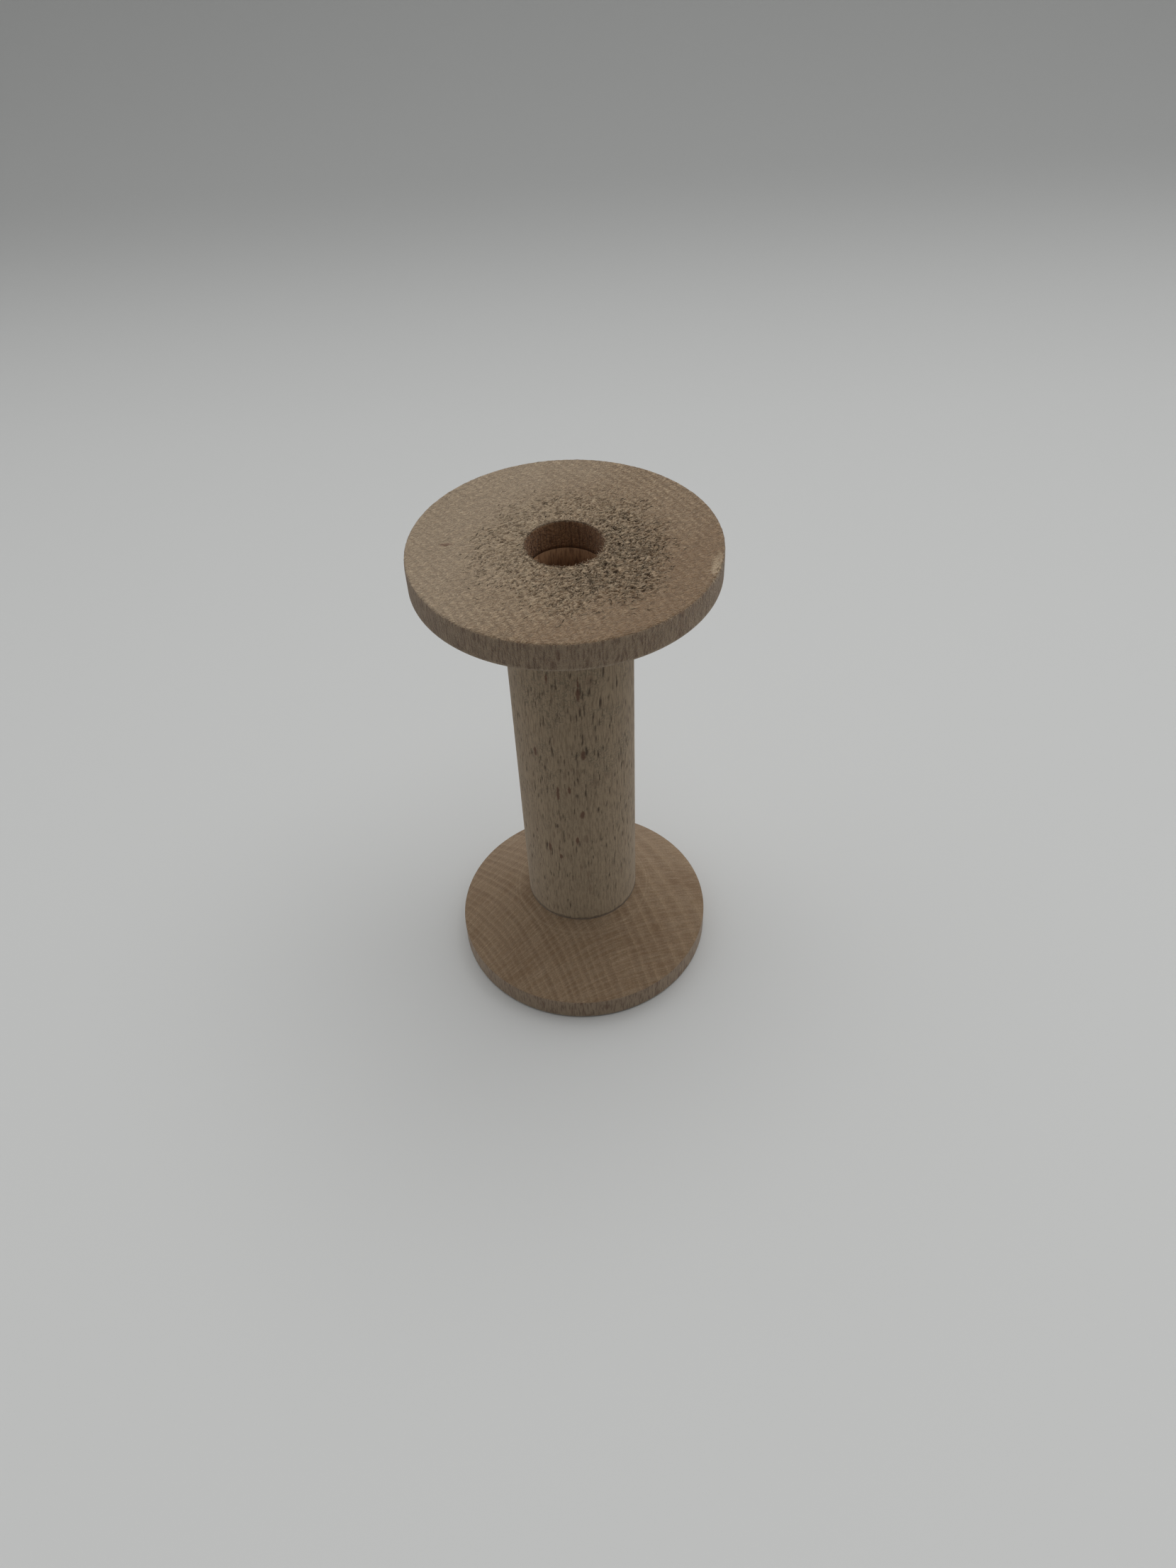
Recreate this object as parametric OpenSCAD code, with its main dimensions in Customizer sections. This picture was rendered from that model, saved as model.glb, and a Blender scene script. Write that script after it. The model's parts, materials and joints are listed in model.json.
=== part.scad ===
// Turned wooden spool for thread: a bored barrel glued between two flanges.
// Millimetres. The axis of the bore is Z, and the spool stands on its lower flange at z = 0.

/* [Spool] */
// Height over both outer faces, along the bore
spool_h = 76; // [60:0.5:110]

/* [Flanges] */
// Diameter over the rim of each flange
flange_d = 40.3; // [30:0.1:60]
// Thickness of each flange at its rim
rim_t = 4; // [3:0.1:6]
// Angle at which the inner face climbs from the rim to the barrel
slope_deg = 30; // [15:0.5:40]
// Worn radius on the outer edge of each rim
outer_edge_r = 0.5; // [0.2:0.05:1]
// Radius on the inner edge of each rim
inner_edge_r = 0.25; // [0.1:0.05:0.8]

/* [Barrel] */
// Diameter of the barrel that the thread is wound on
barrel_d = 17.4; // [16:0.1:24]

/* [Bore] */
// Diameter of the hole that passes a spindle through all three pieces
bore_d = 10; // [6:0.1:11]

/* [Glued joints] */
// Diameter of the tenon at each end of the barrel
tenon_d = 13.6; // [13:0.1:15]
// Wood left in each flange between its socket and its outer face
web_t = 4.2; // [2:0.1:5]
// Clearance round each tenon, which the glue fills
glue_gap = 0.05; // [0.02:0.01:0.1]

/* [Hidden] */

$fn = 96;
arc_steps = 6;      // chords along a rounded edge
over = 1;           // how far a cutter runs past the face that it opens
flange_r = flange_d / 2;
barrel_r = barrel_d / 2;
hub_h = rim_t + (flange_r - barrel_r) * tan(slope_deg);   // outer face to the barrel's shoulder
faces = [0.68, 0.59, 0.47];   // end grain of the flanges
sides = [0.63, 0.57, 0.47];   // greyer long grain of the barrel

// Points along an arc round [cx, cy], from angle a to angle b
function arc(cx, cy, r, a, b) =
    [for (i = [0 : arc_steps])
        let (t = a + (b - a) * i / arc_steps) [cx + r * cos(t), cy + r * sin(t)]];

// Half section of a flange that rests on its outer face, from the axis to the rim
module flange_section() {
    // height of the arc's centre where the rim runs into the slope
    inner_c = rim_t - inner_edge_r * (1 - sin(slope_deg)) / cos(slope_deg);
    polygon(concat(
        [[0, 0]],
        arc(flange_r - outer_edge_r, outer_edge_r, outer_edge_r, -90, 0),
        arc(flange_r - inner_edge_r, inner_c, inner_edge_r, 0, 90 - slope_deg),
        [[barrel_r, hub_h], [0, hub_h]]
    ));
}

// One flange with its bore and the blind socket that takes a tenon
module flange() {
    difference() {
        rotate_extrude() flange_section();
        translate([0, 0, -over]) cylinder(d = bore_d, h = hub_h + 2 * over);
        translate([0, 0, web_t]) cylinder(d = tenon_d + 2 * glue_gap, h = hub_h - web_t + over);
    }
}

// The bored barrel: its shoulders bear on the two hubs, and its tenons fill the sockets
module barrel() {
    color(sides)
    difference() {
        union() {
            translate([0, 0, hub_h]) cylinder(d = barrel_d, h = spool_h - 2 * hub_h);
            translate([0, 0, web_t]) cylinder(d = tenon_d, h = spool_h - 2 * web_t);
        }
        translate([0, 0, web_t - over]) cylinder(d = bore_d, h = spool_h - 2 * web_t + 2 * over);
    }
}

module lower_flange() {
    color(faces) flange();
}

module upper_flange() {
    color(faces) translate([0, 0, spool_h]) mirror([0, 0, 1]) flange();
}

barrel();
upper_flange();
lower_flange();
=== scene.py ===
# Turned wooden thread spool: beech with a torn upper face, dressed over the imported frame.
# Objects are in metres. The sizes in the dictionaries are in millimetres, and angles in degrees
# run anticlockwise from +X, so the side that faces the camera is at -90.
import json
import random
from math import atan2, cos, degrees, exp, hypot, pi, radians, sin

import bmesh
import bpy
from mathutils import Matrix, Vector, noise


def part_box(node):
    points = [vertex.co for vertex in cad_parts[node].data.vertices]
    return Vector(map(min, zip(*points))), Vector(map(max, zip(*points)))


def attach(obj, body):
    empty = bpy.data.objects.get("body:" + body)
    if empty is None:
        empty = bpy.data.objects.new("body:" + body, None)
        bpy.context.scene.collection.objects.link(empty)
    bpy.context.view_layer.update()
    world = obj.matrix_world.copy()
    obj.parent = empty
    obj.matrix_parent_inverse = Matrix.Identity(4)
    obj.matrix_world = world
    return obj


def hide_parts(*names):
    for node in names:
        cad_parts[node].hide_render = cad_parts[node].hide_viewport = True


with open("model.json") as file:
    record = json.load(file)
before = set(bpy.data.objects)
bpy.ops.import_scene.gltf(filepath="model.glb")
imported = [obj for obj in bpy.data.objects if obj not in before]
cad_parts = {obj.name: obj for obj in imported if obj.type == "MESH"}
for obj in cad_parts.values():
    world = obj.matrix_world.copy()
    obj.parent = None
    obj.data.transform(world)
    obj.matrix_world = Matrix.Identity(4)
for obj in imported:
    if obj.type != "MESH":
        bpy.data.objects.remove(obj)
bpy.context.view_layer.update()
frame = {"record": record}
print("frame loaded")

mm = 0.001
lowerLo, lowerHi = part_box("lower_flange")
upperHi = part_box("upper_flange")[1]
barrelLo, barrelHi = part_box("barrel")
boreMount = next(m for m in frame["record"]["mounts"] if m["name"] == "spindle_bore")

spool = {
    "height": upperHi.z / mm,
    "flangeRadius": (lowerHi.x - lowerLo.x) / 2 / mm,
    "hub": lowerHi.z / mm,                  # outer face to the barrel's shoulder
    "barrelRadius": (barrelHi.x - barrelLo.x) / 2 / mm,
    "web": barrelLo.z / mm,                 # outer face to the socket's floor
    "boreRadius": boreMount["dims"]["r_mm"],
    "rim": 4.0,                             # thickness at the rim
    "tenonRadius": 6.8,
    "glueGap": 0.05,
    "innerEdge": 0.25,                      # radius on the rim's inner edge
    "skin": 0.03,                           # how far the dressed wood stays inside the frame
    "boreGroove": 0.05,                     # depth of the upright grooves in the bore's wall
    "rimGroove": 0.03,                      # and of those round the rims
}

# The log that the blank was split from: its pith lies outside the spool, front left
pith = Vector((-80.0, -47.0))
pithDistance = pith.length
rayX, rayY = -pith / pithDistance           # the rays run this way, square to the rings


def smooth(low, high, value):
    t = min(max((value - low) / (high - low), 0.0), 1.0)
    return t * t * (3 - 2 * t)


def bell(value, centre, width):
    return exp(-((value - centre) / width) ** 2)


def grain(x, y, z, across, up, seed=0.0):
    return noise.noise(Vector((x / across, y / across, z / up + seed)))


def srgb(red, green, blue):
    return [((c / 255 + 0.055) / 1.055) ** 2.4 for c in (red, green, blue)] + [1.0]


# Camera, light and floor

viewpoint = {
    "lens": 27.03,          # for a sensor 36 mm along the long side
    "distance": 2.2957,     # from the spool's middle, in spool heights
    "elevation": 44.464,
    "pan": 0.514,
    "tilt": -1.248,
    "roll": -3.153,
}

studio = {
    "skyFront": 0.16,       # grey of the world on the camera's side, as light
    "skyBack": 0.95,        # and behind the spool
    "backing": 0.5,         # grey of the world, as the camera sees it
    "lampPlace": (100.0, 60.0, 600.0),
    "lampSize": 500.0,
    "lampPower": 1.2,
    "floorTone": srgb(204, 205, 204),
    "risenShade": srgb(180, 181, 180),        # painted shade where the backdrop has risen
    "floorWidth": 3000.0,
    "floorFront": -1500.0,
    "sweepStart": 170.0,
    "sweepRadius": 150.0,
}


def placeCamera():
    rise = radians(viewpoint["elevation"])
    away = viewpoint["distance"] * spool["height"] * mm
    turn = (Matrix.Rotation(pi / 2 - rise, 4, "X")
            @ Matrix.Rotation(-radians(viewpoint["pan"]), 4, "Y")
            @ Matrix.Rotation(radians(viewpoint["tilt"]), 4, "X")
            @ Matrix.Rotation(radians(viewpoint["roll"]), 4, "Z"))
    middle = Vector((0, 0, spool["height"] / 2 * mm))
    spot = middle + Vector((0, -away * cos(rise), away * sin(rise)))
    camera = bpy.data.cameras.new("camera")
    camera.lens = viewpoint["lens"]
    camera.sensor_width = 36
    camera.clip_start = 0.01
    cameraObject = bpy.data.objects.new("camera", camera)
    cameraObject.matrix_world = Matrix.Translation(spot) @ turn
    bpy.context.scene.collection.objects.link(cameraObject)
    bpy.context.scene.camera = cameraObject


def hangLamp():
    lamp = bpy.data.lights.new("softbox", "AREA")
    lamp.shape = "SQUARE"
    lamp.size = studio["lampSize"] * mm
    lamp.energy = studio["lampPower"]
    spot = Vector(studio["lampPlace"]) * mm
    aim = Vector((0, 0, spool["height"] / 2 * mm)) - spot
    lampObject = bpy.data.objects.new("softbox", lamp)
    lampObject.matrix_world = Matrix.Translation(spot) @ aim.to_track_quat("-Z", "Y").to_matrix().to_4x4()
    bpy.context.scene.collection.objects.link(lampObject)


def lightWorld():
    world = bpy.data.worlds.new("studio")
    world.use_nodes = True
    bpy.context.scene.world = world
    tree = world.node_tree
    path = tree.nodes.new("ShaderNodeLightPath")
    seen = maths(tree, "MAXIMUM", path.outputs["Is Camera Ray"], path.outputs["Is Glossy Ray"])
    seen = maths(tree, "MAXIMUM", seen, path.outputs["Is Transmission Ray"])
    toward = node(tree, "SeparateXYZ", {0: node(tree, "TexCoord").outputs["Generated"]}).outputs["Y"]
    front, back, backing = ([studio[key]] * 3 + [1.0] for key in ("skyFront", "skyBack", "backing"))
    sky = blend(tree, ramp(tree, toward, -0.6, 0.3), front, back)
    tree.links.new(blend(tree, seen, sky, backing), tree.nodes["Background"].inputs["Color"])


def layFloor():
    start, radius = studio["sweepStart"], studio["sweepRadius"]
    bends = 24
    outline = [(studio["floorFront"], 0.0)]
    for i in range(bends + 1):
        turn = pi / 2 * i / bends
        outline.append((start + radius * sin(turn), radius * (1 - cos(turn))))
    bm = bmesh.new()
    row = [bm.verts.new((-studio["floorWidth"] / 2 * mm, y * mm, z * mm)) for y, z in outline]
    edges = [bm.edges.new(pair) for pair in zip(row, row[1:])]
    grown = bmesh.ops.extrude_edge_only(bm, edges=edges)["geom"]
    moved = [g for g in grown if isinstance(g, bmesh.types.BMVert)]
    bmesh.ops.translate(bm, verts=moved, vec=(studio["floorWidth"] * mm, 0, 0))
    bmesh.ops.recalc_face_normals(bm, faces=bm.faces)
    floor = finishMesh(bm, "floor", paperMaterial())


# Nodes

def node(tree, kind, inputs=None, **settings):
    made = tree.nodes.new("ShaderNode" + kind)
    for name, value in settings.items():
        setattr(made, name, value)
    for key, value in (inputs or {}).items():
        plug(tree, made.inputs[key], value)
    return made


def plug(tree, socket, value):
    if isinstance(value, bpy.types.NodeSocket):
        tree.links.new(value, socket)
    else:
        socket.default_value = value


def maths(tree, operation, first, second=0.0, third=0.0):
    return node(tree, "Math", {0: first, 1: second, 2: third}, operation=operation).outputs[0]


def vectors(tree, operation, first, second=(0, 0, 0)):
    made = node(tree, "VectorMath", {0: first, 1: second}, operation=operation)
    return made.outputs["Value" if operation in ("LENGTH", "DOT_PRODUCT") else "Vector"]


def blend(tree, amount, base, top, mode="MIX"):
    made = node(tree, "Mix", {0: amount, 6: base, 7: top}, data_type="RGBA", blend_type=mode)
    return made.outputs[2]


def ramp(tree, value, low, high, fromHere=0.0, toHere=1.0):
    made = node(tree, "MapRange", {"Value": value, "From Min": low, "From Max": high,
                                   "To Min": fromHere, "To Max": toHere},
                interpolation_type="SMOOTHSTEP")
    return made.outputs["Result"]


def cloudy(tree, place, size, detail=2.0, roughness=0.5):
    made = node(tree, "TexNoise", {"Vector": place, "Scale": 1 / size, "Detail": detail,
                                   "Roughness": roughness})
    return made.outputs["Fac"]


def swayed(tree, place, scale, detail, amount):
    # the place, pushed about by noise
    drift = node(tree, "TexNoise", {"Vector": place, "Scale": scale, "Detail": detail}).outputs["Color"]
    drift = vectors(tree, "SUBTRACT", drift, (0.5, 0.5, 0.5))
    drift = node(tree, "VectorMath", {0: drift, "Scale": amount}, operation="SCALE").outputs[0]
    return vectors(tree, "ADD", place, drift)


def newGroup(name, inputs, outputs):
    tree = bpy.data.node_groups.new(name, "ShaderNodeTree")
    for label, kind in inputs:
        tree.interface.new_socket(label, in_out="INPUT", socket_type="NodeSocket" + kind)
    for label, kind in outputs:
        tree.interface.new_socket(label, in_out="OUTPUT", socket_type="NodeSocket" + kind)
    return tree, tree.nodes.new("NodeGroupInput").outputs, tree.nodes.new("NodeGroupOutput").inputs


def useGroup(tree, group, inputs):
    made = tree.nodes.new("ShaderNodeGroup")
    made.node_tree = group
    for key, value in inputs.items():
        plug(tree, made.inputs[key], value)
    return made.outputs


def makeBeechFigure():
    # growth rings, rays, pores and broad clouds of one piece of beech, for a place in millimetres
    tree, given, wanted = newGroup(
        "beechFigure",
        [("Position", "Vector"), ("Ring Gap", "Float"), ("Ring Widening", "Float"),
         ("Ring Wander", "Float"), ("Ring Fray", "Float")],
        [("Late", "Float"), ("Wave", "Float"), ("Band", "Float"), ("Rays", "Float"), ("Streaks", "Float"),
         ("Pores", "Float"), ("Cloud", "Float")])
    bent = vectors(tree, "MULTIPLY", given["Position"], (1, 1, 0.12))
    for scale, amount in ((0.13, given["Ring Wander"]), (1.3, given["Ring Fray"])):
        bent = swayed(tree, bent, scale, 1.5, amount)
    fromPith = vectors(tree, "MULTIPLY", vectors(tree, "SUBTRACT", bent, (pith.x, pith.y, 0)), (1, 1, 0))
    outward = maths(tree, "SUBTRACT", vectors(tree, "LENGTH", fromPith), pithDistance)
    unbent = vectors(tree, "SUBTRACT", given["Position"], (pith.x, pith.y, 0))
    straight = node(tree, "SeparateXYZ", {0: unbent}).outputs
    around = maths(tree, "MULTIPLY", maths(tree, "ARCTAN2", straight["Y"], straight["X"]), pithDistance)

    even = maths(tree, "DIVIDE", outward, given["Ring Gap"])
    curve = maths(tree, "MULTIPLY", maths(tree, "MULTIPLY", outward, outward), given["Ring Widening"])
    phase = maths(tree, "SUBTRACT", even, curve)
    year = maths(tree, "FRACT", phase)
    late = maths(tree, "MULTIPLY", ramp(tree, year, 0.35, 0.92), ramp(tree, year, 0.94, 1.0, 1.0, 0.0))
    tree.links.new(late, wanted["Late"])
    wave = maths(tree, "COSINE", maths(tree, "MULTIPLY", phase, 2 * pi))
    tree.links.new(maths(tree, "MULTIPLY_ADD", wave, -0.5, 0.5), wanted["Wave"])
    seasons = node(tree, "TexNoise", {"W": phase, "Scale": 0.45, "Detail": 2.0}, noise_dimensions="1D")
    tree.links.new(seasons.outputs["Fac"], wanted["Band"])

    def stretched(wide, deep, tall):
        cells = [maths(tree, "DIVIDE", socket, size)
                 for socket, size in ((around, wide), (outward, deep), (straight["Z"], tall))]
        return node(tree, "CombineXYZ", {0: cells[0], 1: cells[1], 2: cells[2]}).outputs[0]

    cell = node(tree, "TexVoronoi", {"Vector": stretched(0.42, 6.0, 3.0), "Scale": 1.0}, feature="F1")
    spindle = ramp(tree, cell.outputs["Distance"], 0.16, 0.40, 1.0, 0.0)
    chosen = ramp(tree, node(tree, "SeparateXYZ", {0: cell.outputs["Color"]}).outputs["X"], 0.35, 0.75)
    tree.links.new(maths(tree, "MULTIPLY", spindle, chosen), wanted["Rays"])
    tree.links.new(cloudy(tree, stretched(0.22, 4.0, 3.2), 1.0, 2.0), wanted["Streaks"])
    tree.links.new(cloudy(tree, stretched(0.20, 0.26, 1.6), 1.0, 3.0, 0.6), wanted["Pores"])
    tree.links.new(cloudy(tree, given["Position"], 9.0, 2.0), wanted["Cloud"])
    return tree


def makeTornFuzz():
    # curled fibre ends: short ridges that lie along the rays but wander, 1 on a ridge and 0 between
    tree, given, wanted = newGroup(
        "tornFuzz",
        [("Position", "Vector"), ("Length", "Float"), ("Width", "Float"), ("Curl", "Float")],
        [("Tone", "Float")])
    bent = swayed(tree, given["Position"], 1.0, 1.0, given["Curl"])
    lined = node(tree, "Mapping", {"Vector": bent, "Rotation": (0, 0, -atan2(rayY, rayX))}).outputs[0]
    size = node(tree, "CombineXYZ", {0: given["Length"], 1: given["Width"], 2: given["Length"]}).outputs[0]
    lined = vectors(tree, "DIVIDE", lined, size)
    patchy = ramp(tree, cloudy(tree, lined, 1.0, 2.0, 0.6), 0.32, 0.68)
    aside = vectors(tree, "ADD", lined, (7.3, 2.9, 5.1))
    crease = maths(tree, "ABSOLUTE", maths(tree, "SUBTRACT", cloudy(tree, aside, 1.3, 1.0), 0.5))
    ridge = ramp(tree, crease, 0.0, 0.13, 1.0, 0.0)
    half = maths(tree, "MULTIPLY", patchy, 0.5)
    tree.links.new(maths(tree, "MULTIPLY_ADD", ridge, 0.5, half), wanted["Tone"])
    return tree


def makeEdgeBand():
    # a soft, broken band along a turned edge of the given radius and height
    tree, given, wanted = newGroup(
        "edgeBand",
        [("Position", "Vector"), ("Radius", "Float"), ("Height", "Float"), ("Width", "Float")],
        [("Mask", "Float")])
    flat = vectors(tree, "LENGTH", vectors(tree, "MULTIPLY", given["Position"], (1, 1, 0)))
    z = node(tree, "SeparateXYZ", {0: given["Position"]}).outputs["Z"]
    reach = node(tree, "CombineXYZ", {0: maths(tree, "SUBTRACT", flat, given["Radius"]),
                                      1: maths(tree, "SUBTRACT", z, given["Height"])}).outputs[0]
    away = maths(tree, "DIVIDE", vectors(tree, "LENGTH", reach), given["Width"])
    broken = maths(tree, "MULTIPLY_ADD", cloudy(tree, given["Position"], 0.9, 3.0), 1.6, -0.8)
    tree.links.new(ramp(tree, maths(tree, "ADD", away, broken), 0.35, 1.0, 1.0, 0.0), wanted["Mask"])
    return tree


def makeFleck():
    # one dark fleck in the wood, with a frayed outline
    tree, given, wanted = newGroup(
        "fleck", [("Position", "Vector"), ("Centre", "Vector"), ("Size", "Vector")], [("Mask", "Float")])
    reach = vectors(tree, "SUBTRACT", given["Position"], given["Centre"])
    reach = vectors(tree, "DIVIDE", reach, given["Size"])
    frayed = maths(tree, "MULTIPLY_ADD", cloudy(tree, given["Position"], 0.45, 2.0), 1.2, -0.6)
    far = maths(tree, "ADD", vectors(tree, "LENGTH", reach), frayed)
    tree.links.new(ramp(tree, far, 0.55, 1.15, 1.0, 0.0), wanted["Mask"])
    return tree


beechFigure = makeBeechFigure()
tornFuzz = makeTornFuzz()
edgeBand = makeEdgeBand()
fleckGroup = makeFleck()


def newMaterial(name):
    material = bpy.data.materials.new(name)
    material.use_nodes = True
    tree = material.node_tree
    shader = tree.nodes["Principled BSDF"]
    place = node(tree, "VectorMath", {0: node(tree, "TexCoord").outputs["Object"], "Scale": 1 / mm},
                 operation="SCALE").outputs[0]
    return material, tree, shader, place


def paperMaterial():
    material, tree, shader, place = newMaterial("paper")
    height = node(tree, "SeparateXYZ", {0: place}).outputs["Z"]
    # the backdrop is painted darker as it rises: painted shade
    risen = ramp(tree, height, 0.0, 34.0)
    plug(tree, shader.inputs["Base Color"], blend(tree, risen, studio["floorTone"], studio["risenShade"]))
    shader.inputs["Roughness"].default_value = 0.9
    shader.inputs["Specular IOR Level"].default_value = 0.1
    return material


def finishMesh(bm, name, material):
    mesh = bpy.data.meshes.new(name)
    bm.to_mesh(mesh)
    bm.free()
    mesh.shade_smooth()
    mesh.materials.append(material)
    piece = bpy.data.objects.new(name, mesh)
    bpy.context.scene.collection.objects.link(piece)
    return piece


placeCamera()
hangLamp()
lightWorld()
layFloor()
print("camera, lamp, world and floor")


# Turning

def arcPoints(radius, height, bend, first, last, count):
    turns = [radians(first + (last - first) * i / count) for i in range(count + 1)]
    return [(radius + bend * cos(t), height + bend * sin(t), 1) for t in turns]


def turned(outline, steps):
    # the outline's points are radius, height and the number of rows up to the next point
    bm = bmesh.new()
    for (radius, height, rows), following in zip(outline, outline[1:] + outline[:1]):
        corners = ((radius, height), following[:2])
        edge = bm.edges.new([bm.verts.new((r * mm, 0, h * mm)) for r, h in corners])
        if rows > 1:
            bmesh.ops.subdivide_edges(bm, edges=[edge], cuts=rows - 1)
    bmesh.ops.remove_doubles(bm, verts=bm.verts, dist=0.001 * mm)
    # one sector is spun and the rest are copies, which is much quicker than a full spin
    sectors = 12
    bmesh.ops.spin(bm, geom=bm.verts[:] + bm.edges[:], cent=(0, 0, 0), axis=(0, 0, 1),
                   angle=2 * pi / sectors, steps=steps // sectors)
    sector = bm.verts[:] + bm.edges[:] + bm.faces[:]
    for i in range(1, sectors):
        copied = bmesh.ops.duplicate(bm, geom=sector)["geom"]
        bmesh.ops.rotate(bm, verts=[g for g in copied if isinstance(g, bmesh.types.BMVert)],
                         cent=(0, 0, 0), matrix=Matrix.Rotation(2 * pi * i / sectors, 3, "Z"))
    bmesh.ops.remove_doubles(bm, verts=bm.verts, dist=0.001 * mm)
    bmesh.ops.recalc_face_normals(bm, faces=bm.faces)
    bm.normal_update()
    return bm


def weather(bm, surface):
    # surface gives how far a point sinks into the wood and its tone: -1 in a gap, where shade is painted, 1
    # on a raised fibre, painted paler partly as a highlight
    relief = bm.verts.layers.float.new("relief")
    moves = []
    for vertex in bm.verts:
        x, y, z = vertex.co / mm
        depth, tone = surface(x, y, z, vertex.normal)
        vertex[relief] = min(max(tone, -1.0), 1.0)
        moves.append((vertex, vertex.co - vertex.normal * depth * mm))
    for vertex, spot in moves:
        vertex.co = spot
    bm.normal_update()


def flangeOutline(rows, outerEdge):
    # from the bore, along the outer face, round the rim, up the slope and back through the socket
    bore, wide, rim = spool["boreRadius"], spool["flangeRadius"] - spool["skin"], spool["rim"]
    slope = atan2(spool["hub"] - rim, spool["flangeRadius"] - spool["barrelRadius"])
    inner = spool["innerEdge"]
    innerCentre = rim - inner * (1 - sin(slope)) / cos(slope)
    socket = spool["tenonRadius"] + spool["glueGap"]
    corners = [(bore, 0, rows["nearBore"]), (rows["split"], 0, rows["face"])]
    corners += arcPoints(wide - outerEdge, outerEdge, outerEdge, -90, 0, rows["outerEdge"])[:-1]
    corners += [(wide, outerEdge, rows["rim"])]
    corners += arcPoints(wide - inner, innerCentre, inner, 0, 90 - degrees(slope), 4)[:-1]
    corners += [(wide - inner + inner * sin(slope), innerCentre + inner * cos(slope), rows["slope"])]
    corners += [(spool["barrelRadius"], spool["hub"], 4), (socket, spool["hub"], 6)]
    corners += [(socket, spool["web"], 4), (bore, spool["web"], rows["boreWall"])]
    return corners


# Upper flange

tornFace = {
    "sunk": 0.03,           # the torn face lies this far below the frame's plane
    "reach": 12.5,          # radius where the tearing fades out
    "worstSide": -25.0,     # the tearing is deepest on this side of the bore
    "gapDepth": 0.42,
    "tornDrop": 0.10,       # the whole torn zone lies this much lower
    "curlHeight": 0.09,
    "fuzzHeight": 0.02,
    "raggedMouth": 0.12,    # how unevenly the bore's mouth is broken away
    "gapSize": (0.75, 0.24),        # along and across the rays, and so below
    "smallGapSize": (0.35, 0.15),
    "curlSize": (0.55, 0.24),
    "outerEdge": 0.35,
    "crumbDepth": 0.08,     # on the rim's edge
    "chipSide": -20.0,      # a pale chip on the rim's edge
    "chipSpread": 9.0,
    "chipOnFace": 0.16,     # depth of the chip
    "chipOnRim": 0.20,
    "noiseSeed": 7,
    "steps": 648,
    "rows": {"nearBore": 72, "split": 13.5, "face": 28, "outerEdge": 6, "rim": 10, "slope": 9,
             "boreWall": 8},
}


# noise_vector takes its offsets from the clock unless a seed is set
noise.seed_set(tornFace["noiseSeed"])


def tornAt(x, y):
    radius = hypot(x, y)
    worst = max(0.0, cos(atan2(y, x) - radians(tornFace["worstSide"])))
    front = max(0.0, -y / max(radius, 0.1))
    reach = tornFace["reach"] + 1.5 * worst + 2.0 * front + 2.0 * grain(x, y, 0, 4.0, 1.0, 30.5)
    return 1 - smooth(reach - 5.0, reach + 2.0, radius), worst


def strokes(along, across, size, seed):
    return noise.noise(Vector((along / size[0], across / size[1], seed)))


def tearing(x, y):
    torn, worst = tornAt(x, y)
    sway = noise.noise_vector(Vector((x / 1.3, y / 1.3, 4.0))) * 0.5
    along = (x + sway.x) * rayX + (y + sway.y) * rayY
    across = (y + sway.y) * rayX - (x + sway.x) * rayY
    pit = (strokes(along, across, tornFace["gapSize"], 5.0)
           + 0.5 * strokes(along, across, tornFace["smallGapSize"], 8.0))
    gap = smooth(0.16 - 0.10 * worst, 0.50 - 0.08 * worst, pit)
    curl = 1 - min(1.0, 3.2 * abs(strokes(along, across, tornFace["curlSize"], 12.0)))
    fuzz = noise.noise(Vector((x / 0.3, y / 0.3, 17.0)))
    strength = torn * (0.30 + 0.70 * worst)
    depth = (torn * tornFace["tornDrop"] + strength * tornFace["gapDepth"] * gap
             - torn * tornFace["curlHeight"] * curl * (1 - gap) + tornFace["fuzzHeight"] * (1 + fuzz))
    # the tone paints shade into the gaps and lightens the curls, partly as a painted highlight
    tone = torn * 0.9 * curl * (1 - gap) - (0.30 * torn + 0.70 * strength) * gap + 0.15 * fuzz
    return depth, tone


def uprightGrooves(x, y, z):
    return 0.5 + 0.5 * (0.7 * grain(x, y, z, 0.32, 4.0, 2.5) + 0.6 * grain(x, y, z, 0.15, 2.0, 7.5))


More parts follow.
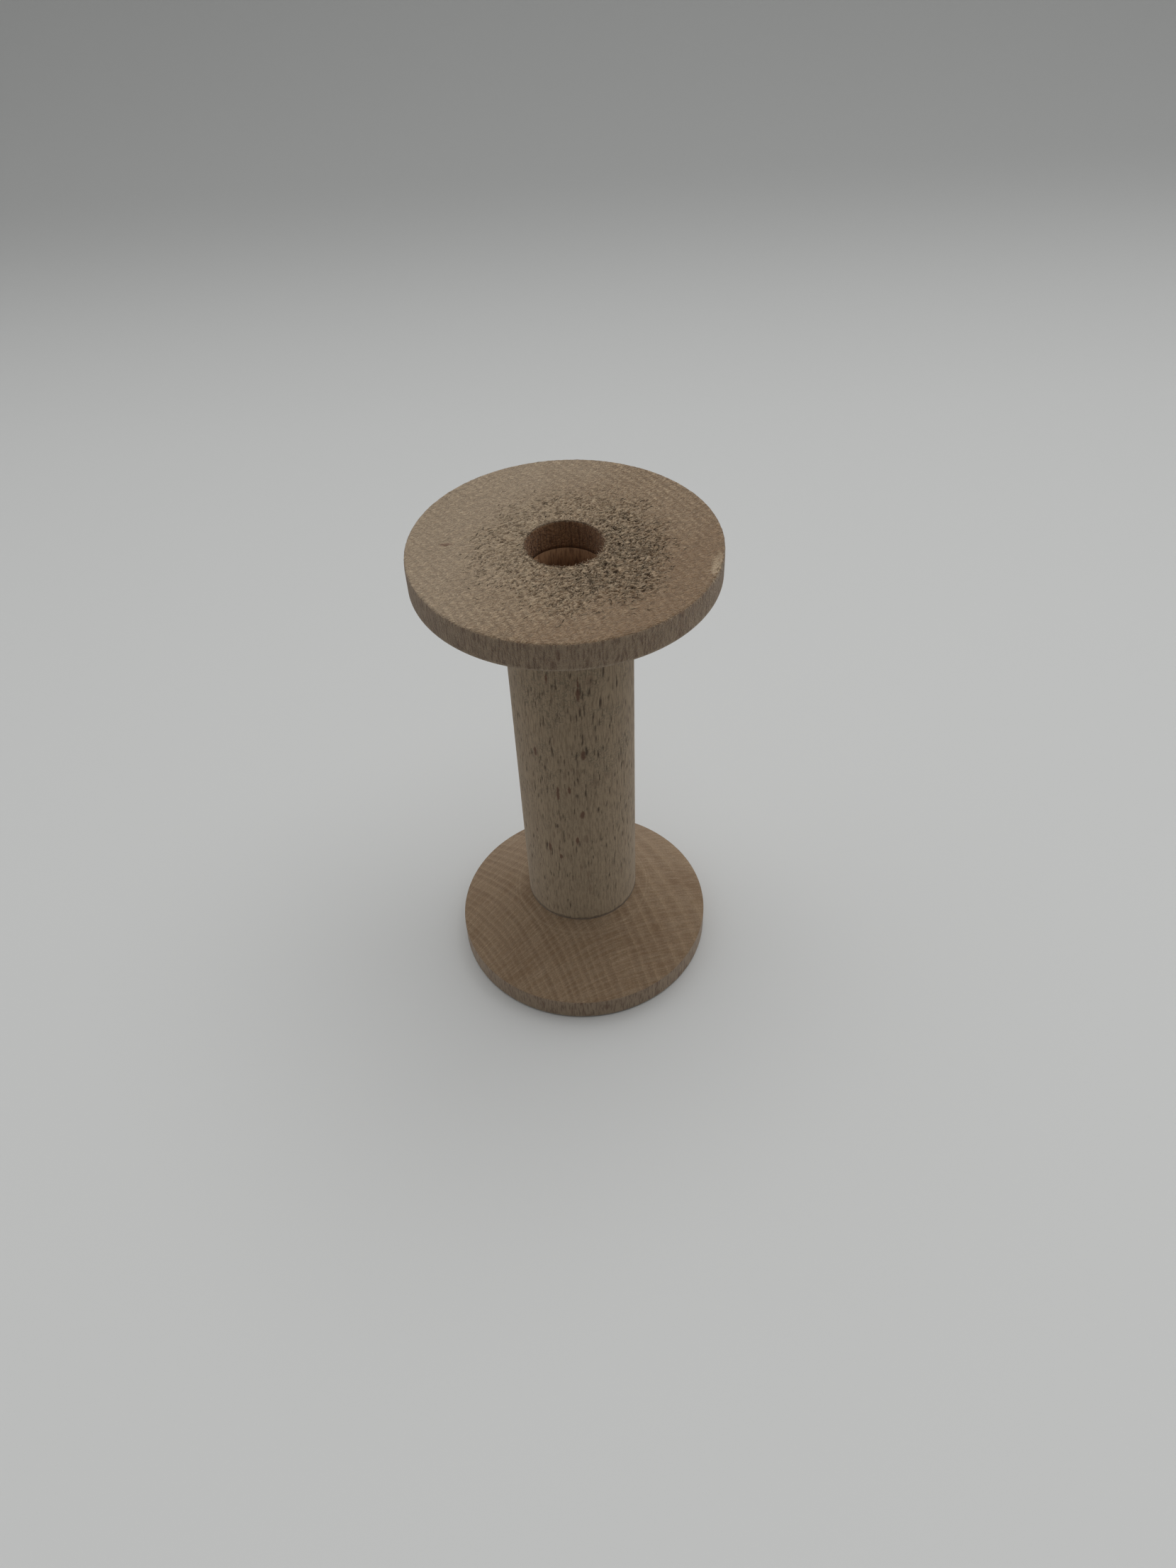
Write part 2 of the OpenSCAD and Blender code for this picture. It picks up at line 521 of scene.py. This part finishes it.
def upperSurface(x, y, z, normal):
    radius, azimuth = hypot(x, y), degrees(atan2(y, x))
    low = spool["height"] - z
    flat, wide, bore = abs(normal.z), spool["flangeRadius"], spool["boreRadius"]
    chipped = bell(azimuth, tornFace["chipSide"], tornFace["chipSpread"])
    if radius < bore + 0.01 and flat < 0.9:
        mouth = 1 - smooth(0.1, 0.9, low)
        ragged = 0.5 + 0.5 * grain(x, y, z, 0.28, 0.5, 3.5)
        depth = spool["boreGroove"] * uprightGrooves(x, y, z) + mouth * tornFace["raggedMouth"] * ragged
        return depth, -0.2 * mouth
    if low < 0.01 and radius < wide - tornFace["outerEdge"] - 0.15:
        depth, tone = tearing(x, y)
        lip = 1 - smooth(bore, bore + 0.5, radius)
        ragged = 0.5 + 0.5 * grain(x, y, z, 0.35, 1.0, 9.5)
        crumbs = smooth(0.35, 0.6, 0.5 + 0.5 * grain(x, y, 0, 0.6, 1.0, 1.5))
        chip = chipped * crumbs * smooth(wide - 1.7, wide - 0.8, radius)
        depth = tornFace["sunk"] + depth + lip * tornFace["raggedMouth"] * ragged
        return depth + tornFace["chipOnFace"] * chip, tone + 0.9 * chip
    if low < spool["rim"] + 0.05 and radius > wide - 0.6:
        edge = 1 - smooth(0.1, 0.9, low)
        crumbs = 0.5 + 0.5 * grain(x, y, z, 0.45, 0.45, 5.5)
        chip = chipped * edge * smooth(0.3, 0.6, crumbs)
        depth = edge * (tornFace["sunk"] * flat + tornFace["crumbDepth"] * crumbs)
        depth += spool["rimGroove"] * uprightGrooves(x, y, z) * (1 - flat)
        return depth + tornFace["chipOnRim"] * chip, 0.9 * chip + 0.5 * edge * (crumbs - 0.4)
    if low > spool["rim"] - 0.3 and radius > spool["barrelRadius"] + 0.01:
        return 0.012 + 0.012 * grain(x, y, z, 0.8, 0.8), 0.0
    return 0.0, 0.0


# Lower flange

smoothFace = {
    "outerEdge": 0.5,
    "toolLine": 10.5,       # radius of a line that the tool left on the slope
    "secondLine": 0.55,     # a fainter line lies this much further out
    "rippleGap": 0.62,
    "steps": 420,
    "rows": {"nearBore": 20, "split": 13.0, "face": 10, "outerEdge": 6, "rim": 12, "slope": 62,
             "boreWall": 12},
}


def lowerSurface(x, y, z, normal):
    radius = hypot(x, y)
    flat, wide, bore = abs(normal.z), spool["flangeRadius"], spool["boreRadius"]
    if radius < bore + 0.01 and flat < 0.9:
        return spool["boreGroove"] * uprightGrooves(x, y, z), 0.0
    if z > spool["rim"] - 0.2 and radius > spool["barrelRadius"] + 0.01 and radius < wide - 0.2:
        # the tool lines are shallow grooves, and their tone paints them paler as a highlight
        line = bell(radius, smoothFace["toolLine"], 0.12)
        line += 0.6 * bell(radius, smoothFace["toolLine"] + smoothFace["secondLine"], 0.1)
        ripple = 0.5 + 0.5 * sin(2 * pi * radius / smoothFace["rippleGap"] + 2 * grain(x, y, 0, 6.0, 1.0))
        return 0.006 + 0.02 * line + 0.008 * ripple + 0.012 * abs(grain(x, y, z, 1.2, 1.2)), 0.3 * line
    if radius > wide - 0.8 and z > 0.01:
        grooves = spool["rimGroove"] * uprightGrooves(x, y, z) * (1 - flat)
        return grooves + 0.02 * abs(grain(x, y, z, 0.7, 0.7)), 0.0
    if z < 0.01:
        return 0.012 + 0.012 * grain(x, y, 0, 0.6, 1.0), 0.0
    return 0.0, 0.0


# Barrel

barrelLook = {
    "steps": 420,
    "outerRows": 150,
    "boreRows": 30,
    "crackDepth": 0.07,
    "footNarrowing": 0.10,  # where the tool cut in at the foot
    # azimuth, lowest height, highest height and width of each dark fleck in the wood
    "flecks": [
        (-85.3, 57.0, 59.3, 0.56), (-85.0, 58.6, 61.3, 0.22), (-83.2, 46.0, 48.1, 0.59),
        (-86.6, 34.3, 35.8, 0.72), (-92.8, 28.6, 30.5, 0.42), (-109.2, 37.8, 40.8, 0.43),
        (-130.2, 45.6, 47.3, 0.52), (-98.0, 39.6, 41.0, 0.40), (-112.5, 59.8, 61.6, 0.30),
        (-122.1, 26.1, 28.3, 0.50), (-110.3, 25.0, 26.2, 0.45),
    ],
}


def barrelOutline():
    bore, wide, tenon = spool["boreRadius"], spool["barrelRadius"], spool["tenonRadius"]
    web, hub, top = spool["web"], spool["hub"], spool["height"]
    return [(bore, web, 2), (tenon, web, 4), (tenon, hub, 2), (wide, hub, barrelLook["outerRows"]),
            (wide, top - hub, 2), (tenon, top - hub, 4), (tenon, top - web, 2),
            (bore, top - web, barrelLook["boreRows"])]


def barrelSurface(x, y, z, normal):
    radius = hypot(x, y)
    if radius < spool["boreRadius"] + 0.01 and abs(normal.z) < 0.9:
        return spool["boreGroove"] * uprightGrooves(x, y, z), 0.0
    if radius < spool["barrelRadius"] - 0.01 or z < spool["hub"] or z > spool["height"] - spool["hub"]:
        return 0.0, 0.0
    risen = smooth(spool["hub"], spool["height"] - spool["hub"], z)
    # cracks are cut in and also darkened through the tone: painted shade inside them
    crackShade = grain(x, y, z, 0.25, 1.7, 11.5) + 0.4 * grain(x, y, z, 0.12, 0.9, 21.5)
    crackShade = smooth(0.42 - 0.12 * risen, 0.75 - 0.12 * risen, crackShade)
    foot = 1 - smooth(0.0, 0.35, z - spool["hub"])
    lumps = 0.5 + 0.5 * grain(x, y, z, 2.5, 6.0, 1.5)
    depth = 0.012 + 0.015 * lumps + 0.015 * uprightGrooves(x, y, z) + barrelLook["crackDepth"] * crackShade
    return depth + barrelLook["footNarrowing"] * foot, -crackShade


# Finishes

wood = {
    "faceBase": srgb(140, 119, 94),
    "faceCrestLit": srgb(168, 147, 120),       # fibres that stand up: paler wood with a painted highlight
    # hollows between the fibres: darker wood with painted shade
    "faceValleyShaded": srgb(112, 90, 67),
    "paleSide": srgb(170, 155, 134),           # the paler side of the upper face
    "brownSide": srgb(122, 96, 70),           # and the browner one
    "coneEarly": srgb(136, 114, 89),
    "coneLate": srgb(108, 85, 63),
    "patch": srgb(112, 88, 65),
    # pale fibre colour, also used as a painted highlight on raised fibres and tool lines
    "paleFibreAndHighlight": srgb(184, 165, 138),
    "gapShade": srgb(66, 47, 33),
    "rimWood": srgb(150, 131, 109),
    "rimStreak": srgb(104, 82, 66),
    "barrelWood": srgb(158, 139, 114),
    "barrelStreak": srgb(122, 104, 83),
    "redBrown": srgb(92, 60, 44),
    # painted shade for the barrel's cracks and for the corner at its foot
    "crackShade": srgb(66, 51, 39),
    "boreWood": srgb(156, 120, 88),
    "boreStreak": srgb(116, 84, 58),
    "paleBand": srgb(170, 153, 131),
    "darkGrey": srgb(98, 90, 75),
}


surfaceFinish = {
    "specular": 0.25,
    "sheen": 0.12,
    "sheenRoughness": 0.5,
}


def reliefOf(tree):
    return node(tree, "Attribute", attribute_name="relief", attribute_type="GEOMETRY").outputs["Fac"]


def share(tree, mask, amount):
    return maths(tree, "MULTIPLY", mask, amount)


def flatRadius(tree, place):
    return vectors(tree, "LENGTH", vectors(tree, "MULTIPLY", place, (1, 1, 0)))


def boreColour(tree, figure):
    return blend(tree, ramp(tree, figure["Pores"], 0.40, 0.66), wood["boreWood"], wood["boreStreak"])


def finishWood(tree, shader, colour, height, depth, roughness):
    plug(tree, shader.inputs["Base Color"], colour)
    plug(tree, shader.inputs["Roughness"], roughness)
    shader.inputs["Specular IOR Level"].default_value = surfaceFinish["specular"]
    shader.inputs["Sheen Weight"].default_value = surfaceFinish["sheen"]
    shader.inputs["Sheen Roughness"].default_value = surfaceFinish["sheenRoughness"]
    bump = node(tree, "Bump", {"Height": height, "Distance": depth * mm, "Strength": 1.0})
    plug(tree, shader.inputs["Normal"], bump.outputs[0])


def rimColour(tree, figure, raised):
    # long grain with fine streaks and red-brown dashes
    streaks = share(tree, ramp(tree, figure["Pores"], 0.42, 0.66), 0.75)
    rim = blend(tree, streaks, wood["rimWood"], wood["rimStreak"])
    rim = blend(tree, share(tree, figure["Rays"], 0.5), rim, wood["redBrown"])
    return blend(tree, share(tree, raised, 0.7), rim, wood["paleFibreAndHighlight"])


def tornFaceColour(tree, place, figure, raised, sunk):
    # fuzzy end grain: pale curls with a painted highlight over browner hollows with painted shade, with the
    # rings as paler beaded ridges
    fuzz = useGroup(tree, tornFuzz, {"Position": place, "Length": 0.42, "Width": 0.19, "Curl": 0.7})["Tone"]
    beads = ramp(tree, figure["Streaks"], 0.36, 0.62)
    ridge = maths(tree, "MULTIPLY", figure["Wave"], maths(tree, "MULTIPLY_ADD", beads, 0.7, 0.3))
    outer = ramp(tree, flatRadius(tree, place), 10.0, 15.0)
    ridge = maths(tree, "MULTIPLY", ridge, outer)
    cover = maths(tree, "MULTIPLY_ADD", ridge, 0.35, maths(tree, "MULTIPLY_ADD", fuzz, 0.9, -0.12))
    face = blend(tree, ramp(tree, cover, 0.0, 0.5), wood["faceValleyShaded"], wood["faceBase"])
    face = blend(tree, ramp(tree, cover, 0.45, 1.0), face, wood["faceCrestLit"])
    # the face is paler to the left and browner to the front right, with a cloudy border
    cloudReach = 14.0
    side = vectors(tree, "DOT_PRODUCT", place, (-0.91, 0.42, 0.0))
    side = maths(tree, "SUBTRACT", side, cloudReach / 2)
    side = maths(tree, "MULTIPLY_ADD", figure["Cloud"], cloudReach, side)
    face = blend(tree, share(tree, ramp(tree, side, -4.0, 12.0), 0.35), face, wood["paleSide"])
    side = vectors(tree, "DOT_PRODUCT", place, (0.80, -0.60, 0.0))
    side = maths(tree, "ADD", side, cloudReach / 2)
    side = maths(tree, "MULTIPLY_ADD", figure["Cloud"], -cloudReach, side)
    face = blend(tree, share(tree, ramp(tree, side, 3.0, 17.0), 0.55), face, wood["brownSide"])
    # raised fibres are painted paler, partly as a highlight, and the gaps get painted shade
    face = blend(tree, share(tree, raised, 0.75), face, wood["paleFibreAndHighlight"])
    face = blend(tree, share(tree, sunk, 0.9), face, wood["gapShade"])
    height = maths(tree, "MULTIPLY_ADD", ridge, 0.35, fuzz)
    return face, height


def planedFaceColour(tree, place, figure, raised, sunk):
    # smooth end grain: soft ring bands crossed by a faint weave of rays
    band = ramp(tree, figure["Band"], 0.30, 0.62, 0.35, 1.0)
    ring = maths(tree, "MULTIPLY_ADD", figure["Wave"], 0.55, share(tree, figure["Late"], 0.45))
    face = blend(tree, maths(tree, "MULTIPLY", ring, band), wood["coneEarly"], wood["coneLate"])
    face = blend(tree, share(tree, ramp(tree, figure["Cloud"], 0.45, 0.72), 0.45), face, wood["patch"])
    weave = ramp(tree, figure["Streaks"], 0.38, 0.62)
    face = blend(tree, share(tree, weave, 0.18), face, wood["paleBand"])
    face = blend(tree, share(tree, figure["Rays"], 0.12), face, wood["paleFibreAndHighlight"])
    speck = ramp(tree, figure["Pores"], 0.40, 0.64, 0.90, 1.10)
    speckled = node(tree, "CombineColor", {0: speck, 1: speck, 2: speck}).outputs[0]
    face = blend(tree, 1.0, face, speckled, "MULTIPLY")
    # raised places, the tool lines, are painted paler as a highlight
    face = blend(tree, share(tree, raised, 0.5), face, wood["paleFibreAndHighlight"])
    face = blend(tree, share(tree, sunk, 0.8), face, wood["gapShade"])
    height = maths(tree, "MULTIPLY_ADD", figure["Pores"], 0.8, share(tree, ring, -0.6))
    return face, height


def endGrainMaterial(name, faceColour, look):
    material, tree, shader, place = newMaterial(name)
    figure = useGroup(tree, beechFigure, {
        "Position": place, "Ring Gap": look["ringGap"], "Ring Widening": look["ringWidening"],
        "Ring Wander": look["ringWander"], "Ring Fray": look["ringFray"]})
    relief = reliefOf(tree)
    raised = maths(tree, "MAXIMUM", relief, 0.0)
    sunk = maths(tree, "MAXIMUM", maths(tree, "MULTIPLY", relief, -1.0), 0.0)
    radius = flatRadius(tree, place)
    upwards = node(tree, "SeparateXYZ", {0: node(tree, "TexCoord").outputs["Normal"]}).outputs["Z"]
    upright = ramp(tree, maths(tree, "ABSOLUTE", upwards), 0.45, 0.8, 1.0, 0.0)
    face, height = faceColour(tree, place, figure, raised, sunk)
    onRim = ramp(tree, radius, spool["flangeRadius"] - look["rimBand"], spool["flangeRadius"] - 0.1)
    onRim = maths(tree, "MULTIPLY", onRim, upright)
    colour = blend(tree, onRim, face, rimColour(tree, figure, raised))
    # a pale band along the flange's edge at each of these heights
    for edgeHeight in look["edgeBandHeights"]:
        paleBand = useGroup(tree, edgeBand, {"Position": place, "Radius": spool["flangeRadius"],
                                             "Height": edgeHeight, "Width": 0.4})["Mask"]
        colour = blend(tree, share(tree, paleBand, 0.5), colour, wood["paleBand"])
    inBore = ramp(tree, radius, spool["boreRadius"] + 0.15, spool["boreRadius"] + 0.35, 1.0, 0.0)
    colour = blend(tree, maths(tree, "MULTIPLY", inBore, upright), colour, boreColour(tree, figure))
    for centre, size in look["flecks"]:
        mask = useGroup(tree, fleckGroup, {"Position": place, "Centre": centre, "Size": size})["Mask"]
        colour = blend(tree, share(tree, mask, 0.7), colour, wood["redBrown"])
    height = maths(tree, "MULTIPLY_ADD", figure["Streaks"], 0.25, height)
    finishWood(tree, shader, colour, height, look["bump"], ramp(tree, figure["Pores"], 0.3, 0.7, 0.9, 0.78))
    return material


def sideGrainMaterial(name):
    material, tree, shader, place = newMaterial(name)
    figure = useGroup(tree, beechFigure, {"Position": place, "Ring Gap": 1.2, "Ring Widening": 0.0,
                                          "Ring Wander": 0.7, "Ring Fray": 0.1})
    sunk = maths(tree, "MAXIMUM", maths(tree, "MULTIPLY", reliefOf(tree), -1.0), 0.0)
    height = node(tree, "SeparateXYZ", {0: place}).outputs["Z"]
    streaks = ramp(tree, figure["Pores"], 0.40, 0.66)
    colour = blend(tree, share(tree, streaks, 0.7), wood["barrelWood"], wood["barrelStreak"])
    colour = blend(tree, share(tree, figure["Late"], 0.15), colour, wood["barrelStreak"])
    colour = blend(tree, share(tree, figure["Rays"], 0.28), colour, wood["redBrown"])
    # darker grey in fine curls, thickest on the upper half
    curls = useGroup(tree, tornFuzz, {"Position": place, "Length": 0.45, "Width": 0.35, "Curl": 1.2})
    curls = ramp(tree, curls["Tone"], 0.45, 0.75)
    greyPatch = ramp(tree, cloudy(tree, place, 6.0, 2.0), 0.40, 0.62)
    greyPatch = maths(tree, "MULTIPLY", greyPatch, ramp(tree, height, 28.0, 52.0, 0.35, 1.0))
    greyPatch = share(tree, maths(tree, "MULTIPLY", greyPatch, curls), 0.5)
    colour = blend(tree, greyPatch, colour, wood["darkGrey"])
    # painted shade inside the cracks
    colour = blend(tree, share(tree, sunk, 0.85), colour, wood["crackShade"])
    for azimuth, low, high, width in barrelLook["flecks"]:
        out = spool["barrelRadius"]
        centre = (out * cos(radians(azimuth)), out * sin(radians(azimuth)), (low + high) / 2)
        size = (width * 0.6, width * 0.6, (high - low) * 0.55)
        mask = useGroup(tree, fleckGroup, {"Position": place, "Centre": centre, "Size": size})["Mask"]
        colour = blend(tree, share(tree, mask, 0.8), colour, wood["redBrown"])
    # a dark line round the foot: a darker line in the wood, with painted shade in the corner where the
    # barrel meets the flange
    foot = useGroup(tree, edgeBand, {"Position": place, "Radius": spool["barrelRadius"],
                                       "Height": spool["hub"] + 0.1, "Width": 0.5})["Mask"]
    colour = blend(tree, share(tree, foot, 0.55), colour, wood["crackShade"])
    bore = spool["boreRadius"]
    inBore = ramp(tree, flatRadius(tree, place), bore + 0.2, bore + 0.4, 1.0, 0.0)
    colour = blend(tree, inBore, colour, boreColour(tree, figure))
    rough = maths(tree, "MULTIPLY_ADD", figure["Streaks"], 0.6, figure["Pores"])
    finishWood(tree, shader, colour, rough, 0.06, ramp(tree, figure["Pores"], 0.3, 0.7, 0.88, 0.76))
    return material


upperWood = endGrainMaterial("tornEndGrain", tornFaceColour, {
    "ringGap": 1.12, "ringWidening": 0.0, "ringWander": 0.9, "ringFray": 0.35,
    "rimBand": 0.30, "bump": 0.13,
    "edgeBandHeights": [spool["height"] - spool["rim"]],
    "flecks": [((-14.9, 1.0, spool["height"]), (0.9, 0.35, 1.0))],
})
lowerWood = endGrainMaterial("planedEndGrain", planedFaceColour, {
    "ringGap": 1.555, "ringWidening": 0.0119, "ringWander": 0.9, "ringFray": 0.08,
    "rimBand": 0.35, "bump": 0.04,
    "edgeBandHeights": [0.2],
    "flecks": [],
})
barrelWood = sideGrainMaterial("greyedSideGrain")
print("wood finishes")


def addFlange(name, look, surface, material, upper):
    outline = flangeOutline(look["rows"], look["outerEdge"])
    if upper:
        outline = [(radius, spool["height"] - height, rows) for radius, height, rows in outline]
    bm = turned(outline, look["steps"])
    weather(bm, surface)
    piece = finishMesh(bm, name + "_wood", material)
    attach(piece, "root")
    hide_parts(name)
    print(name, len(piece.data.polygons) * 2, "triangles")


def addBarrel():
    bm = turned(barrelOutline(), barrelLook["steps"])
    weather(bm, barrelSurface)
    piece = finishMesh(bm, "barrel_wood", barrelWood)
    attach(piece, "root")
    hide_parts("barrel")
    print("barrel", len(piece.data.polygons) * 2, "triangles")


addFlange("lower_flange", smoothFace, lowerSurface, lowerWood, False)
addBarrel()
addFlange("upper_flange", tornFace, upperSurface, upperWood, True)


# Torn fibres: short bent slivers that stand up out of the torn face

fibres = {
    "count": 2400,
    "mouthCount": 150,      # of them round the mouth of the bore
    "longest": 1.15,
    "shortest": 0.4,
    "thick": 0.14,
    "widest": 17.0,         # no fibres past this radius
    "bends": [(1.0, 0.0), (0.7, 0.9), (-0.3, 1.6), (1.4, -0.5)],     # arch and hook of each kind
    "seed": 11,
    "singleSunk": 0.14,     # how far those below lie under the frame's plane
    # start, end and thickness of the loose sliver and the splinters that show one by one
    "single": [((6.5, 2.1), (7.8, -1.2), 0.22), ((6.0, 1.7), (7.0, 1.2), 0.14),
               ((16.55, -10.95), (16.85, -11.0), 0.12), ((18.3, -7.4), (18.9, -6.2), 0.13)],
}


def fibreTemplate(arch, hook):
    # a unit long along Z; it arches towards -X and its far end hooks up
    bm = bmesh.new()
    bmesh.ops.create_cone(bm, segments=3, radius1=0.5, radius2=0.18, depth=1.0, cap_ends=True)
    bmesh.ops.translate(bm, verts=bm.verts, vec=(0, 0, 0.5))
    sides = [e for e in bm.edges if abs(e.verts[0].co.z - e.verts[1].co.z) > 0.5]
    bmesh.ops.subdivide_edges(bm, edges=sides, cuts=4)
    for vertex in bm.verts:
        along = vertex.co.z
        vertex.co.x -= arch * 4 * along * (1 - along) + hook * along ** 3
    mesh = bpy.data.meshes.new("fibre")
    bm.to_mesh(mesh)
    bm.free()
    return mesh


def layFibre(bm, template, spot, heading, lean, roll, long, thick):
    shape = template.copy()
    lay = Matrix.Rotation(heading, 4, "Z") @ Matrix.Rotation(pi / 2 - lean, 4, "Y")
    lay = lay @ Matrix.Rotation(roll, 4, "Z")
    size = Matrix.Diagonal((thick, thick * 0.7, long, 1))
    shape.transform(Matrix.Scale(mm, 4) @ Matrix.Translation(spot) @ lay @ size)
    bm.from_mesh(shape)
    bpy.data.meshes.remove(shape)


def addFibres():
    pick = random.Random(fibres["seed"])
    templates = [fibreTemplate(arch, hook) for arch, hook in fibres["bends"]]
    bore, top = spool["boreRadius"], spool["height"]
    bm = bmesh.new()
    placed = 0
    while placed < fibres["count"]:
        atMouth = placed < fibres["mouthCount"]
        radius = bore + 0.12 if atMouth else pick.uniform(bore + 0.1, fibres["widest"])
        turn = pick.uniform(0, 2 * pi)
        chance = pick.random()
        x, y = radius * cos(turn), radius * sin(turn)
        torn, worst = tornAt(x, y)
        if not atMouth and chance > torn * (0.40 + 0.60 * worst) * radius / 14:
            continue
        long = pick.uniform(fibres["shortest"], fibres["longest"]) * (0.75 + 0.35 * worst)
        heading = atan2(rayY, rayX) + pick.gauss(0, 0.6) + pick.choice((0, pi))
        if atMouth:
            long *= 0.55
            heading = turn + pi + pick.gauss(0, 0.9)
        depth = tearing(x, y)[0]
        z = top - tornFace["sunk"] - min(depth, 0.2) - 0.02
        template = templates[pick.randrange(len(templates))]
        lean = radians(pick.uniform(-2, 12))
        roll = pick.gauss(0, 0.7)
        thick = fibres["thick"] * pick.uniform(0.55, 1.25)
        layFibre(bm, template, (x, y, z), heading, lean, roll, long, thick)
        placed += 1
    for (x, y), (endX, endY), thick in fibres["single"]:
        long = hypot(endX - x, endY - y)
        spot = (x, y, top - fibres["singleSunk"])
        heading = atan2(endY - y, endX - x)
        layFibre(bm, templates[0], spot, heading, 0.0, 0.0, long, thick)
    for mesh in templates:
        bpy.data.meshes.remove(mesh)
    relief = bm.verts.layers.float.new("relief")
    for vertex in bm.verts:
        vertex.co.z = min(vertex.co.z, (top - 0.01) * mm)
        vertex[relief] = 0.6
    bmesh.ops.recalc_face_normals(bm, faces=bm.faces)
    piece = finishMesh(bm, "torn_fibres", upperWood)
    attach(piece, "root")
    print("torn fibres", placed)


addFibres()

bpy.context.scene.view_settings.view_transform = "Standard"
